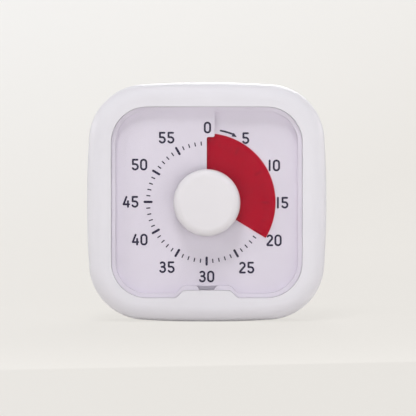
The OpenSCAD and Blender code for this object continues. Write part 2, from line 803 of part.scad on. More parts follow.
// Volume switch: a body inside and a ribbed slider in the slot
module switch_body() color("#303236") stand_up() {
  difference() {
    translate([switch_x, switch_y, 6.4]) cube([switch_w, switch_h, 4.4], center = true);
    block(switch_x - slide_travel - 1.9, switch_x + slide_travel + 1.9, switch_y - 1.4,
          switch_y + 1.4, 4, 7);
  }
}

module switch_slider() color("#2b2d30") stand_up() {
  block(switch_x - 1.6, switch_x + 1.6, switch_y - 1.2, switch_y + 1.2, 1, 6.8);
  block(switch_x - 2, switch_x + 2, switch_y - 1.45, switch_y + 1.45, 0.2, 1.8);
}

// Folding leg: rests in the recess and swings out about the pin at its top
module stand_leg() color("#dedbe0") stand_up() {
  w = leg_w / 2;
  difference() {
    union() {
      block(-w, w, leg_y - leg_l, leg_y, 0.3, 0.3 + leg_t);
      translate([0, leg_y, leg_pin_z]) rotate([0, 90, 0]) cylinder(r = 2, h = leg_w, center = true);
    }
    block(-w + 6, w - 6, leg_y - leg_l + 12, leg_y - 10, -1, leg_t + 2);
    translate([0, leg_y, leg_pin_z]) rotate([0, 90, 0])
      cylinder(r = pin_r + run_gap, h = leg_w + 2, center = true);
  }
}

module stand_pin() color("#a4a7ab") stand_up() {
  translate([0, leg_y, leg_pin_z]) rotate([0, 90, 0])
    cylinder(r = pin_r, h = leg_w + 5, center = true);
}

// Battery door: swings about short pins at the ends of its rounded top edge
module battery_door() color("#dfdce1") stand_up() {
  w = door_w / 2;
  top = door_y1 - 1.4;
  difference() {
    union() {
      block(-w, w, door_y0 + 0.3, top, 0.2, door_t);
      translate([0, top, door_pin_z]) rotate([0, 90, 0])
        cylinder(r = 1.2, h = door_w, center = true);
      translate([0, top, door_pin_z]) rotate([0, 90, 0])
        cylinder(r = door_pin_r, h = door_w + 2.4, center = true);
    }
    translate([0, door_y0 + 2.4, 0]) for (y = [0, 1.6, 3.2]) block(-7, 7, y, y + 0.8, -1, 0.6);
  }
}

front_housing();
rear_housing();
housing_screws();
lens();
dial_plate();
time_film();
disc_hub();
knob();
spindle();
alarm_cam();
clutch_spring();
retaining_clip();
movement_base();
movement_cover();
movement_screws();
centre_wheel();
third_wheel();
second_wheel();
middle_wheel();
rotor();
stator();
coil_bobbin();
coil_winding();
circuit_board();
chip();
quartz_crystal();
alarm_contact();
buzzer();
battery_cell();
battery_spring();
battery_plate();
magnets();
switch_body();
switch_slider();
stand_leg();
stand_pin();
battery_door();
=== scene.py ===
# %% [markdown]
# # A visual countdown timer
# The timer is a square plastic case with a wide soft bezel, a clear cover, a pale dial with a
# red disc, and a round knob in the middle. Its construction comes packed and ready: every part
# already sits at its real size and place, in metres, with Z up and the dial facing -Y.
# This lesson adds what the construction leaves out: the printing on the dial, the finish of
# every part, the light and the camera.

# %% Load the construction
import json
import math

import bmesh
import bpy
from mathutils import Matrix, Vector
from mathutils.geometry import delaunay_2d_cdt

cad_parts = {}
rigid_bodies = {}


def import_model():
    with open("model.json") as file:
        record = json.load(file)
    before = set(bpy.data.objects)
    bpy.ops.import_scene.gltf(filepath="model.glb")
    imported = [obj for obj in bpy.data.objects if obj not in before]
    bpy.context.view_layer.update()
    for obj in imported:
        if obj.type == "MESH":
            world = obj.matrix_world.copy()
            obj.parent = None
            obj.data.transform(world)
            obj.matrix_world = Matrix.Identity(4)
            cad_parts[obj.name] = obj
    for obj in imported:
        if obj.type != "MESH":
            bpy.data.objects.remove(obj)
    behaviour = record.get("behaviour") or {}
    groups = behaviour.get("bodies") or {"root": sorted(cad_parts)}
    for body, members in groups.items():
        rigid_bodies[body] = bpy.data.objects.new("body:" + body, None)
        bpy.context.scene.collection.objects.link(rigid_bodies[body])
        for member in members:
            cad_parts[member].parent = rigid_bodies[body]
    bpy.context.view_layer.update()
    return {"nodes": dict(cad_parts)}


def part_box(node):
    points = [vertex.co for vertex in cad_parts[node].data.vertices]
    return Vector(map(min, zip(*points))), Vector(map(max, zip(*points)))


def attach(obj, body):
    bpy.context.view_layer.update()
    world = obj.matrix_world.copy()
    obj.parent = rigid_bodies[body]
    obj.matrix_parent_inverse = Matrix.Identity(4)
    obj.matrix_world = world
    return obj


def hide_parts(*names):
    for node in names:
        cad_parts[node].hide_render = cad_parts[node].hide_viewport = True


for leftover in list(bpy.data.objects):
    bpy.data.objects.remove(leftover)
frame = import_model()

# %% [markdown]
# ## Where things are
# Everything that follows is placed from the parts themselves, so nothing has to be fitted by
# eye. The knob gives the dial's axis, and the front housing gives the face of the bezel.
#
# The dial isn't flat. It is one turn of a very shallow ramp, like one thread of a screw, so
# that its two ends overlap at twelve o'clock and leave a slit. The red film runs through that
# slit: what has been counted down disappears behind the dial. The ramp starts at its deepest
# on the right of the slit and rises clockwise, by so much in a full turn.

# %% Measure the parts
MM = 0.001
RAMP_RISE = 2.2 * MM
RAMP_DEPTH = 7.4 * MM
knob_low, knob_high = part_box("knob")
dial_axis = Vector(((knob_low.x + knob_high.x) / 2, 0, (knob_low.z + knob_high.z) / 2))
bezel_face_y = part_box("front_housing")[0].y
ramp_start_y = bezel_face_y + RAMP_DEPTH
print("dial axis in mm", tuple(round(v / MM, 2) for v in dial_axis))
print("bezel face at y", round(bezel_face_y / MM, 2), "mm")


def clock_angle(x, z):
    """Angle of a point on the dial, in degrees clockwise from twelve o'clock."""
    return math.degrees(math.atan2(x, z)) % 360


def ramp_y(angle):
    """Where the ramp's face is at that angle. It rises towards the viewer, who is at -Y."""
    return ramp_start_y - RAMP_RISE * angle / 360


# %% [markdown]
# ## Strokes for the printing
# The numerals and marks are screen printed in one dark ink. They could be made with Blender's
# text object, but then a font would decide their shape, and its outline would need converting.
# These numerals are simple: each is a pen stroke of even width with round ends. So a numeral is
# kept as the line that the pen follows, made of straight pieces and arcs, and the ink is what a
# round nib leaves along it.

# %% Pen lines
NIB_CORNERS = 20
NO_LENGTH = 1e-9


def arc(centre, radius, start, end, step=9):
    """Points along an arc, in degrees anticlockwise from the right."""
    count = max(2, round(abs(end - start) / step))
    angles = [math.radians(start + (end - start) * i / count) for i in range(count + 1)]
    return [(centre[0] + radius * math.cos(a), centre[1] + radius * math.sin(a)) for a in angles]


def nib_marks(line, width):
    """The patches that a round nib covers along a line: a disc at each point, a bar between."""
    half = width / 2
    turn = 360 / NIB_CORNERS
    patches = [arc(p, half, 0, 360 - turn, turn) for p in line]
    for (x0, y0), (x1, y1) in zip(line, line[1:]):
        length = math.hypot(x1 - x0, y1 - y0)
        if length > NO_LENGTH:
            sx = -(y1 - y0) / length * half
            sy = (x1 - x0) / length * half
            patches.append([
                (x0 + sx, y0 + sy), (x0 - sx, y0 - sy), (x1 - sx, y1 - sy), (x1 + sx, y1 + sy),
            ])
    return patches


dash = nib_marks([(0, 0), (3, 0)], 1)
print("a plain dash takes", len(dash), "patches")

# %% [markdown]
# ## One clean sheet of ink
# The nib's patches overlap, and overlapping faces flicker. A constrained Delaunay triangulation
# joins them into one clean sheet of triangles. It also says which patches lie over each
# triangle, so those that none covers, such as the middle of a nought, can be left open.

# %% Join the patches
KEEP_WHAT_IS_INSIDE = 1
SAME_CORNER = 1e-5


def joined(patches):
    """Corners and triangles of the area that the patches cover together, holes left open."""
    corners = [Vector(p) for patch in patches for p in patch]
    loops = []
    first = 0
    for patch in patches:
        loops.append(list(range(first, first + len(patch))))
        first += len(patch)
    points, _, triangles, _, _, covered_by = delaunay_2d_cdt(
        corners, [], loops, KEEP_WHAT_IS_INSIDE, SAME_CORNER
    )
    return points, [t for t, cover in zip(triangles, covered_by) if cover]


print("joined, the dash has", len(joined(dash)[1]), "triangles")

# %% [markdown]
# ## The numerals
# The digits share one height and one pen. A nought is a racetrack, a one is a plain bar, and
# the four is open. They are drawn in millimetres, from the lower left end of the pen's line,
# and each function returns the lines and the width that they take.

# %% Digits
PEN = 1.14
TALL = 5.72
ROUND = 1.56


def nought():
    top = TALL - ROUND
    ring = arc((ROUND, top), ROUND, 0, 180) + arc((ROUND, ROUND), ROUND, 180, 360)
    return [ring + ring[:1]], 2 * ROUND


def one():
    return [[(0, 0), (0, TALL)]], 0


def two():
    wide = 2.9
    bow = 1.42
    head = arc((bow, TALL - bow), bow, 148, -38)
    foot = [(0.12, 0.62), (0.06, 0.2), (0.25, 0), (wide, 0)]
    return [head + foot], wide


def three():
    wide = 3.1
    upper = 1.32
    lower = 1.54
    middle = 2 * lower
    return [
        arc((1.5, middle + upper), upper, 140, -90) + [(1.05, middle)],
        arc((1.55, lower), lower, 90, -150),
    ], wide


def four():
    wide = 3.15
    bar = 1.4
    stem = 2.55
    stem_top = 3.25
    return [[(1.68, TALL), (0, bar), (wide, bar)], [(stem, 0), (stem, stem_top)]], wide


def five():
    wide = 3.16
    bowl = 1.58
    stem = 0.3
    flag = [(2.9, TALL), (stem, TALL), (stem, 2 * bowl)]
    return [flag + arc((bowl, bowl), bowl, 90, -150)], wide


DIGITS = {"0": nought, "1": one, "2": two, "3": three, "4": four, "5": five}
print("digits drawn:", " ".join(DIGITS))

# %% [markdown]
# ## Two digits together
# The print is spaced evenly, but a one is only as wide as the pen, so what follows it needs
# more room. Each numeral is centred on its own middle, so that it can be put down by one point.

# %% Numeral
GAP = 1.83
GAP_AFTER_ONE = 2.42


def numeral(text):
    """Pen lines of a whole numeral, centred on its own middle."""
    lines = []
    x = 0
    for place, digit in enumerate(text):
        strokes, width = DIGITS[digit]()
        lines += [[(x + px, py) for px, py in stroke] for stroke in strokes]
        x += width
        if place < len(text) - 1:
            x += GAP_AFTER_ONE if digit == "1" else GAP
    return [[(px - x / 2, py - TALL / 2) for px, py in line] for line in lines]


reach = max(px for line in numeral("55") for px, py in line)
print("numeral 55 is", round(2 * reach + PEN, 2), "mm wide")

# %% [markdown]
# ## Laying ink on the dial
# The ink is a few hundredths of a millimetre thick on the real dial. Here it stands 0.03 mm
# proud and its edge reaches as far below the face, so no light gets under it. The sheet of
# triangles is laid on the ramp point by point, so it follows the dial exactly. The nought is
# printed on the upper end of the ramp, a whole turn further on than the arrow beside it, and
# `overlap` says that a print is on that end.
#
# Every piece that is added rides on a body of the timer, here the case, and fills a slot that
# says what it is made of.

# %% Ink
INK_PROUD = 0.03 * MM
INK_ROOT = 0.03 * MM
ink_pieces = []


def add_object(name, data):
    """Puts a mesh, a lamp or a camera into the scene."""
    added = bpy.data.objects.new(name, data)
    bpy.context.scene.collection.objects.link(added)
    return added


def add_shape(name, made):
    """Puts a shape into the scene, once its faces are all there."""
    mesh = bpy.data.meshes.new(name)
    made.to_mesh(mesh)
    made.free()
    return add_object(name, mesh)


def print_on_dial(name, patches, overlap=False):
    """One printed mark: its patches are in millimetres from the dial's axis, right and up."""
    points, triangles = joined(patches)
    made = bmesh.new()

    def on_the_ramp(p):
        angle = clock_angle(p.x, p.y)
        if overlap and angle < 90:
            angle += 360
        return dial_axis + Vector((p.x * MM, ramp_y(angle) - INK_PROUD, p.y * MM))

    front = [made.verts.new(on_the_ramp(p)) for p in points]
    for t in triangles:
        made.faces.new([front[i] for i in t])
    rim = [e for e in made.edges if len(e.link_faces) == 1]
    edge = bmesh.ops.extrude_edge_only(made, edges=rim)
    for v in [g for g in edge["geom"] if isinstance(g, bmesh.types.BMVert)]:
        v.co.y += INK_PROUD + INK_ROOT
    # The sheet has no back, so Blender can't tell its outside. The front has to face -Y.
    bmesh.ops.recalc_face_normals(made, faces=made.faces)
    if sum(f.normal.y * f.calc_area() for f in made.faces) > 0:
        bmesh.ops.reverse_faces(made, faces=made.faces)
    piece = add_shape(name, made)
    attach(piece, "case")
    ink_pieces.append(piece)
    return piece


print("ink stands", round(INK_PROUD / MM, 2), "mm proud")

# %% [markdown]
# ## Rows of numerals
# The numerals stand in seven rows. They are set one by one rather than on a circle, so that they
# fill the square window evenly. Each list below starts at the top: the height of a row over the
# axis, and how far its numerals stand to the side. A few numerals sit a little off their place.
# The whole print sits a third of a degree clockwise of the case, as a print may, so the rows
# fall slightly to the right.

# %% Numerals on the dial
NUMERALS = 12
PRINT_TURN = 0.36
ROWS = [43.56, 37.52, 21.72, -0.02, -22.05, -38.1, -43.42]
ASIDE = [0, 23.2, 39.3, 44.35, 39.3, 23.2, 0]
NUDGE = {
    "0": 0.4, "5": -0.5, "10": 0.18, "25": 0.1, "30": -0.15,
    "35": -0.15, "40": 0.15, "45": -0.1, "55": -0.3,
}
for step in range(NUMERALS):
    text = str(5 * step)
    row = min(step, NUMERALS - step)
    side = 1 if step <= NUMERALS / 2 else -1
    cx = ASIDE[row] * side + NUDGE.get(text, 0)
    cy = ROWS[row] - cx * math.tan(math.radians(PRINT_TURN))
    marks = []
    for line in numeral(text):
        marks += nib_marks([(px + cx, py + cy) for px, py in line], PEN)
    print_on_dial("numeral_" + text, marks, overlap=step == 0)
print("numerals:", len(ink_pieces))

# %% [markdown]
# ## Minute marks
# Every fifth minute has a long broad mark and the others a short thin one, each given by its
# inner and outer radius and its width. All of them are one print, but the marks don't touch, so
# they can share one object. The mark of a full hour would lie across the slit, so the real dial
# has none there.

# %% Marks
LONG_MARK = (31.7, 37.05, 1.36)
SHORT_MARK = (33.15, 35.65, 0.7)
MARKS_CENTRE = (0.15, 0)


def spoke(angle, inner, outer, width):
    """A mark that points to the axis. Its ends are round, like those of the numerals."""
    a = math.radians(angle + PRINT_TURN)
    x, y = MARKS_CENTRE
    ends = (inner + width / 2, outer - width / 2)
    return nib_marks([(x + r * math.sin(a), y + r * math.cos(a)) for r in ends], width)


scale = []
for minute in range(1, 60):
    scale += spoke(6 * minute, *(LONG_MARK if minute % 5 == 0 else SHORT_MARK))
minute_marks = print_on_dial("minute_marks", scale)
print("faces of the minute marks:", len(minute_marks.data.polygons))

# %% [markdown]
# ## The turning arrow
# The arrow between 0 and 5 says which way the knob is turned. Its shaft is one more stroke of a
# pen, along an arc round the axis. Its head is a plain triangle, and it points the way the
# shaft ends.

# %% Arrow
ARROW_RADIUS = 42.55
ARROW_PEN = 1.08
ARROW_STARTS = 11.0
ARROW_ENDS = 20.5
ARROW_STEP = 1.5
HEAD_HALF_WIDTH = 1.3
tip = (17.5, 38.0)
base = (15.1, 39.5)
shaft = arc((0, 0), ARROW_RADIUS, 90 - ARROW_STARTS, 90 - ARROW_ENDS, ARROW_STEP)
along = Vector((tip[0] - base[0], tip[1] - base[1])).normalized()
across = Vector((-along.y, along.x)) * HEAD_HALF_WIDTH
head = [tip, (base[0] + across.x, base[1] + across.y), (base[0] - across.x, base[1] - across.y)]
print_on_dial("turn_arrow", nib_marks(shaft, ARROW_PEN) + [head])
print("printed pieces:", len(ink_pieces))

# %% [markdown]
# ## Colours and noise
# The finishes need three helpers. Shaders work with linear colour, so a colour that is given as
# it looks on a screen has to be converted. Noise is looked up in the part's own coordinates, in
# metres, so a grain has a real size and stays with the part when it moves. A ramp turns noise
# into two colours or two greys and what lies between them.

# %% Colours and noise
def tint(colour):
    """A colour given as it looks on a screen, 0 to 255, as the linear value that shaders use."""
    shares = [v / 255 for v in colour]
    linear = [v / 12.92 if v <= 0.04045 else ((v + 0.055) / 1.055) ** 2.4 for v in shares]
    return (*linear, 1)


def start_finish(name):
    """An empty material, with its nodes and links."""
    finish = bpy.data.materials.new(name)
    finish.use_nodes = True
    finish.node_tree.nodes.clear()
    return finish, finish.node_tree.nodes, finish.node_tree.links


def noise(nodes, links, size, detail=3):
    """Noise whose features are about that many metres across, on the part's own coordinates."""
    where = nodes.new("ShaderNodeTexCoord")
    texture = nodes.new("ShaderNodeTexNoise")
    texture.inputs["Scale"].default_value = 1 / size
    texture.inputs["Detail"].default_value = detail
    links.new(where.outputs["Object"], texture.inputs["Vector"])
    return texture.outputs["Fac"]


def between(nodes, links, value, low, high, span=(0.3, 0.7)):
    """A colour or grey between two, by a value that runs through the span."""
    blend = nodes.new("ShaderNodeValToRGB")
    for element, position, colour in zip(blend.color_ramp.elements, span, (low, high)):
        element.position = position
        element.color = colour
    links.new(value, blend.inputs["Fac"])
    return blend.outputs["Color"]


print("a screen grey of 128 is", round(tint((128, 128, 128))[0], 3), "to a shader")

# %% [markdown]
# ## A base for the finishes
# Nearly every part is moulded plastic or plain metal, so they share one recipe: a main colour
# with slow, faint variation, a roughness that wanders a little, and a fine grain as a bump.
# What makes one part differ from another is the size of these, and each finish below states
# its own.
#
# Roughness and bump could come from image files of plastic, but the procedural way needs no
# files and never shows a seam.

# %% Recipe
SLOW_PATCH = 25 * MM
ROUGH_SWING = 0.12
ROUGH_PATCH = 6


def moulded(name, colour, rough, grain, depth, vary=0.03, metal=0.0, patch=SLOW_PATCH):
    """Plastic or metal: grain and depth are the size and height of the texture, in metres."""
    finish, nodes, links = start_finish(name)
    out = nodes.new("ShaderNodeOutputMaterial")
    body = nodes.new("ShaderNodeBsdfPrincipled")
    links.new(body.outputs["BSDF"], out.inputs["Surface"])
    main = tint(colour)[:3]
    low = (*(c * (1 - vary) for c in main), 1)
    high = (*(min(1, c * (1 + vary)) for c in main), 1)
    colours = between(nodes, links, noise(nodes, links, patch), low, high)
    links.new(colours, body.inputs["Base Color"])
    bright = (rough * (1 - ROUGH_SWING),) * 3 + (1,)
    dull = (rough * (1 + ROUGH_SWING),) * 3 + (1,)
    greys = between(nodes, links, noise(nodes, links, grain * ROUGH_PATCH), bright, dull)
    links.new(greys, body.inputs["Roughness"])
    relief = nodes.new("ShaderNodeBump")
    relief.inputs["Strength"].default_value = 1
    relief.inputs["Distance"].default_value = depth
    links.new(noise(nodes, links, grain), relief.inputs["Height"])
    links.new(relief.outputs["Normal"], body.inputs["Normal"])
    body.inputs["Metallic"].default_value = metal
    return finish


dressed = set()


def dress(finish, *parts):
    """Gives a finish to parts of the construction."""
    for part in parts:
        slots = frame["nodes"][part].data.materials
        slots.clear()
        slots.append(finish)
        dressed.add(part)


print("recipe ready, roughness wanders by", ROUGH_SWING)

# %% [markdown]
# ## Case, knob and dial
# The case is ABS with a spark-eroded grain, too fine to see but enough to blur a reflection.
# The knob is the same plastic with a smoother skin, and it looks a little whiter. The dial is
# card-smooth plastic in a pale lavender, and it hardly shines.

# %% Pale plastics
shell_finish = moulded(
    "front_shell_plastic", (215, 213, 219), rough=0.42, grain=0.5 * MM, depth=0.004 * MM, vary=0.012
)
rear_finish = moulded(
    "rear_shell_plastic", (217, 215, 221), rough=0.48, grain=0.5 * MM, depth=0.008 * MM, vary=0.012
)
knob_finish = moulded(
    "knob_plastic", (215, 212, 216), rough=0.34, grain=0.45 * MM, depth=0.003 * MM, vary=0.01
)
dial_finish = moulded(
    "dial_plastic", (214, 208, 220), rough=0.6, grain=0.8 * MM, depth=0.003 * MM, vary=0.02
)
light_finish = moulded(
    "light_inner_plastic", (216, 212, 218), rough=0.5, grain=0.6 * MM, depth=0.006 * MM
)
dress(shell_finish, "front_housing")
dress(rear_finish, "rear_housing", "stand_leg", "battery_door")
dress(knob_finish, "knob")
dress(dial_finish, "dial_plate")
dress(light_finish, "disc_hub", "alarm_cam", "coil_bobbin")
print("parts in pale plastic:", len(dressed))

# %% [markdown]
# ## Ink
# The ink is a dark violet blue with a slight satin. Its colour varies a little where the screen
# left it thinner.

# %% Dial ink
ink_finish = moulded(
    "dial_ink", (20, 9, 50), rough=0.55, grain=0.4 * MM, depth=0.002 * MM, vary=0.18, patch=3 * MM
)
for piece in ink_pieces:
    piece.data.materials.append(ink_finish)
print("inked pieces:", len(ink_pieces))

# %% [markdown]
# ## The red film
# The disc is a thin film of red vinyl, slit once and wound like one turn of a thread, so that
# it runs through the slit of the dial. It stands at 20 minutes: its end edge is a little past
# the mark. The construction holds the same film, and here it is built
# again with its end edge at exactly that angle and just off the dial's face. A ring of short
# four-sided blocks that climb with the angle does it, one to a degree and closed at both ends.
# The turn is left a degree short, for the cut.

# %% Red film
FILM_HOLE = 6.1 * MM
FILM_EDGE = 0.3 * MM
FILM_SPREAD = 0.2 * MM
FILM_GAP = 0.15 * MM
COVERED = 121.3
CUT = 1.0


def helicoid(name, start, end, inner, outer, back_y, thick):
    """A flat ring cut once and wound like one turn of a thread, from start to end degrees."""
    made = bmesh.new()
    steps = round(end - start)
    rings = []
    for i in range(steps + 1):
        angle = start + (end - start) * i / steps
        a = math.radians(angle)
        y = back_y(angle)
        corners = [(inner, y), (outer, y), (outer, y - thick), (inner, y - thick)]
        rings.append([
            made.verts.new(dial_axis + Vector((r * math.sin(a), depth, r * math.cos(a))))
            for r, depth in corners
        ])
    for here, there in zip(rings, rings[1:]):
        for k in range(4):
            made.faces.new([here[k], here[(k + 1) % 4], there[(k + 1) % 4], there[k]])
    made.faces.new(rings[0])
    made.faces.new(rings[-1])
    bmesh.ops.recalc_face_normals(made, faces=made.faces)
    return add_shape(name, made)


film_low, film_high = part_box("time_film")
film_radius = (film_high.x - film_low.x) / 2 + FILM_SPREAD
film = helicoid(
    "red_film", COVERED + CUT, COVERED + 360, FILM_HOLE, film_radius,
    lambda angle: ramp_y(angle - 360) - FILM_GAP, FILM_EDGE,
)
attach(film, "time_disc")
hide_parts("time_film")
print("film radius", round(film_radius / MM, 2), "mm, faces:", len(film.data.polygons))

# %% [markdown]
# ## Red vinyl
# The vinyl is dyed through and lets a little light pass, so the marks of the dial show faintly
# under it. A transmission shader would bend and blur that light for nothing, as the film lies
# almost on the dial. A red Transparent shader, mixed with the opaque red, gives the same look.
# Light crosses two faces of the film each way, so each face lets the root of the share through.

# %% Red vinyl
SHARE_THROUGH_A_FACE = 0.62


def film_material():
    finish = moulded(
        "red_film", (203, 18, 62), rough=0.5, grain=0.6 * MM, depth=0.003 * MM, vary=0.05
    )
    nodes, links = finish.node_tree.nodes, finish.node_tree.links
    out = nodes["Material Output"]
    body = nodes["Principled BSDF"]
    body.inputs["Specular IOR Level"].default_value = 0.2
    through = nodes.new("ShaderNodeBsdfTransparent")
    through.inputs["Color"].default_value = tint((246, 127, 140))
    mix = nodes.new("ShaderNodeMixShader")
    mix.inputs["Fac"].default_value = SHARE_THROUGH_A_FACE
    links.new(body.outputs["BSDF"], mix.inputs[1])
    links.new(through.outputs["BSDF"], mix.inputs[2])
    links.new(mix.outputs["Shader"], out.inputs["Surface"])
    return finish


film.data.materials.append(film_material())
dressed.add("time_film")
print("film finish:", film.data.materials[0].name)

# %% [markdown]
# ## The clear cover
# The cover is a flat sheet of clear acrylic that lies on a frame of the dial. Its own shape is
# used, with one change: two faces in one place flicker, so its back is lifted off the frame by
# a hair.

# %% Cover
COVER_LIFT = 0.03 * MM


def cover_piece():
    """The cover's own shape, with its back lifted off the frame by a hair."""
    mesh = frame["nodes"]["lens"].data.copy()
    mesh.materials.clear()
    back = max(v.co.y for v in mesh.vertices)
    for v in mesh.vertices:
        if v.co.y > back - COVER_LIFT / 2:
            v.co.y -= COVER_LIFT
    piece = add_object("clear_cover", mesh)
    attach(piece, "case")
    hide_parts("lens")
    return piece


cover = cover_piece()
print("cover corners:", len(cover.data.vertices))

# %% [markdown]
# ## Clear acrylic
# Light goes straight through a thin sheet, so a Transparent shader shows the dial without
# noise, and a Glossy one adds the reflections. A Fresnel node mixes them: little gloss face on,
# more at a glancing angle.
#
# Light that leaves the sheet isn't bent here, so at its far face the Fresnel node would take a
# slanting ray for one that can't get out, and the dial would lose the light from above. The
# index is turned round on that face, which makes both faces alike.

# %% Clear acrylic
COVER_INDEX = 1.2
COVER_ROUGH = 0.06


def cover_material():
    finish, nodes, links = start_finish("clear_cover")
    out = nodes.new("ShaderNodeOutputMaterial")
    clear = nodes.new("ShaderNodeBsdfTransparent")
    clear.inputs["Color"].default_value = (1, 1, 1, 1)
    gloss = nodes.new("ShaderNodeBsdfGlossy")
    gloss.inputs["Roughness"].default_value = COVER_ROUGH
    which_face = nodes.new("ShaderNodeNewGeometry")
    index = nodes.new("ShaderNodeMapRange")
    index.inputs["To Min"].default_value = COVER_INDEX
    index.inputs["To Max"].default_value = 1 / COVER_INDEX
    links.new(which_face.outputs["Backfacing"], index.inputs["Value"])
    glance = nodes.new("ShaderNodeFresnel")
    links.new(index.outputs["Result"], glance.inputs["IOR"])
    mix = nodes.new("ShaderNodeMixShader")
    links.new(glance.outputs["Fac"], mix.inputs["Fac"])
    links.new(clear.outputs["BSDF"], mix.inputs[1])
    links.new(gloss.outputs["BSDF"], mix.inputs[2])
    links.new(mix.outputs["Shader"], out.inputs["Surface"])
    return finish


cover.data.materials.append(cover_material())
dressed.add("lens")
print("cover finish:", cover.data.materials[0].name)

# %% [markdown]
# ## Metal inside
# The movement, the contacts and the cell are hidden until the timer is taken apart, but they
# are finished as well. The metals are plated steel, nickel, brass, the dark sintered magnets
# and the copper winding of the coil. They differ in colour and in how much they blur.

# %% Metals
steel = moulded(
    "bright_steel", (190, 192, 196), rough=0.28, grain=0.3 * MM, depth=0.003 * MM, metal=1.0
)
dress(steel, "spindle", "retaining_clip", "stator", "stand_pin", "quartz_crystal")
zinc = moulded(
    "zinc_screw", (150, 152, 156), rough=0.36, grain=0.3 * MM, depth=0.006 * MM, metal=1.0
)
dress(zinc, "housing_screws", "movement_screws")
nickel = moulded(
    "nickel_contact", (204, 205, 206), rough=0.25, grain=0.4 * MM, depth=0.003 * MM, metal=1.0
)
dress(nickel, "battery_spring", "battery_plate")
brass = moulded(
    "brass_leaf", (196, 168, 96), rough=0.3, grain=0.3 * MM, depth=0.003 * MM, metal=1.0
)
dress(brass, "clutch_spring", "alarm_contact")
magnet = moulded(
    "magnet_ferrite", (96, 98, 102), rough=0.45, grain=0.3 * MM, depth=0.008 * MM, metal=0.6
)
dress(magnet, "magnets", "rotor")
copper = moulded(
    "copper_wire", (184, 110, 62), rough=0.32, grain=0.2 * MM, depth=0.02 * MM, metal=1.0
)
dress(copper, "coil_winding")
print("parts with a finish:", len(dressed))

# %% [markdown]
# ## Plastic inside
# The movement is closed in dark plastic, its wheels are pale nylon, and the switch, the buzzer
# and the chip are nearly black. The board has its green lacquer, and the cell a printed jacket
# over steel, which shines a little like metal.

# %% Inner plastics
movement_finish = moulded(
    "movement_plastic", (52, 55, 60), rough=0.5, grain=0.5 * MM, depth=0.01 * MM
)
dress(movement_finish, "movement_base", "movement_cover")
black_finish = moulded("black_plastic", (34, 36, 39), rough=0.45, grain=0.4 * MM, depth=0.01 * MM)
dress(black_finish, "chip", "buzzer", "switch_body", "switch_slider")
nylon = moulded("nylon_wheel", (230, 218, 188), rough=0.4, grain=0.4 * MM, depth=0.004 * MM)
dress(nylon, "centre_wheel", "third_wheel", "second_wheel", "middle_wheel")
board = moulded(
    "board_lacquer", (40, 98, 62), rough=0.3, grain=0.6 * MM, depth=0.006 * MM, vary=0.1
)
dress(board, "circuit_board")
jacket = moulded(
    "cell_jacket", (92, 106, 120), rough=0.3, grain=0.5 * MM, depth=0.003 * MM, metal=0.3
)
dress(jacket, "battery_cell")
print("parts without a finish:", sorted(set(frame["nodes"]) - dressed))

# %% [markdown]
# ## Table and backdrop
# The timer stands on a table that curves up into a wall, so no edge shows behind it. The sheet
# is one strip swept sideways: flat, then a quarter of a circle, then straight up. All sizes are
# in metres.

# %% Backdrop
TABLE_FRONT = -1.9
TABLE_BACK = 0.9
BEND_RADIUS = 0.5
BEND_STEPS = 16
WALL_TOP = 2.2
HALF_WIDTH = 3.0


def backdrop():
    strip = [(TABLE_FRONT, 0.0), (TABLE_BACK, 0.0)]
    for i in range(1, BEND_STEPS + 1):
        a = math.radians(90 * i / BEND_STEPS)
        strip.append((TABLE_BACK + BEND_RADIUS * math.sin(a), BEND_RADIUS * (1 - math.cos(a))))
    strip.append((TABLE_BACK + BEND_RADIUS, WALL_TOP))
    made = bmesh.new()
    left, right = [
        [made.verts.new((x, y, z)) for y, z in strip] for x in (-HALF_WIDTH, HALF_WIDTH)
    ]
    for left0, left1, right0, right1 in zip(left, left[1:], right, right[1:]):
        made.faces.new([left0, right0, right1, left1]).smooth = True
    sheet = add_shape("backdrop", made)
    return sheet


sheet = backdrop()
print("backdrop faces:", len(sheet.data.polygons))

# %% [markdown]
# ## What the eye sees of the room
# Most of the backdrop's colour for the eye is written as a light, a warm grey that falls off
# downwards and to the right. The rest is plain matt paint, which takes the timer's shadow.
# Paint is all that scattered light meets, so the wall throws no tint. The Light Path node tells
# the two apart: it knows which rays come from the eye, also by way of a mirror or through
# glass.

# %% Backdrop paint
GLOW_SHARE = 0.85
GLOW_SLOPE = (-1.05, 0, 3.05)


def seen_directly(nodes, links):
    """One for rays from the eye, also when they come by way of a mirror or through glass."""
    ray = nodes.new("ShaderNodeLightPath")
    mirrored = nodes.new("ShaderNodeMath")
    mirrored.operation = "MAXIMUM"
    links.new(ray.outputs["Is Camera Ray"], mirrored.inputs[0])
    links.new(ray.outputs["Is Glossy Ray"], mirrored.inputs[1])
    passed = nodes.new("ShaderNodeMath")
    passed.operation = "MAXIMUM"
    links.new(mirrored.outputs["Value"], passed.inputs[0])
    links.new(ray.outputs["Is Transmission Ray"], passed.inputs[1])
    return passed.outputs["Value"]


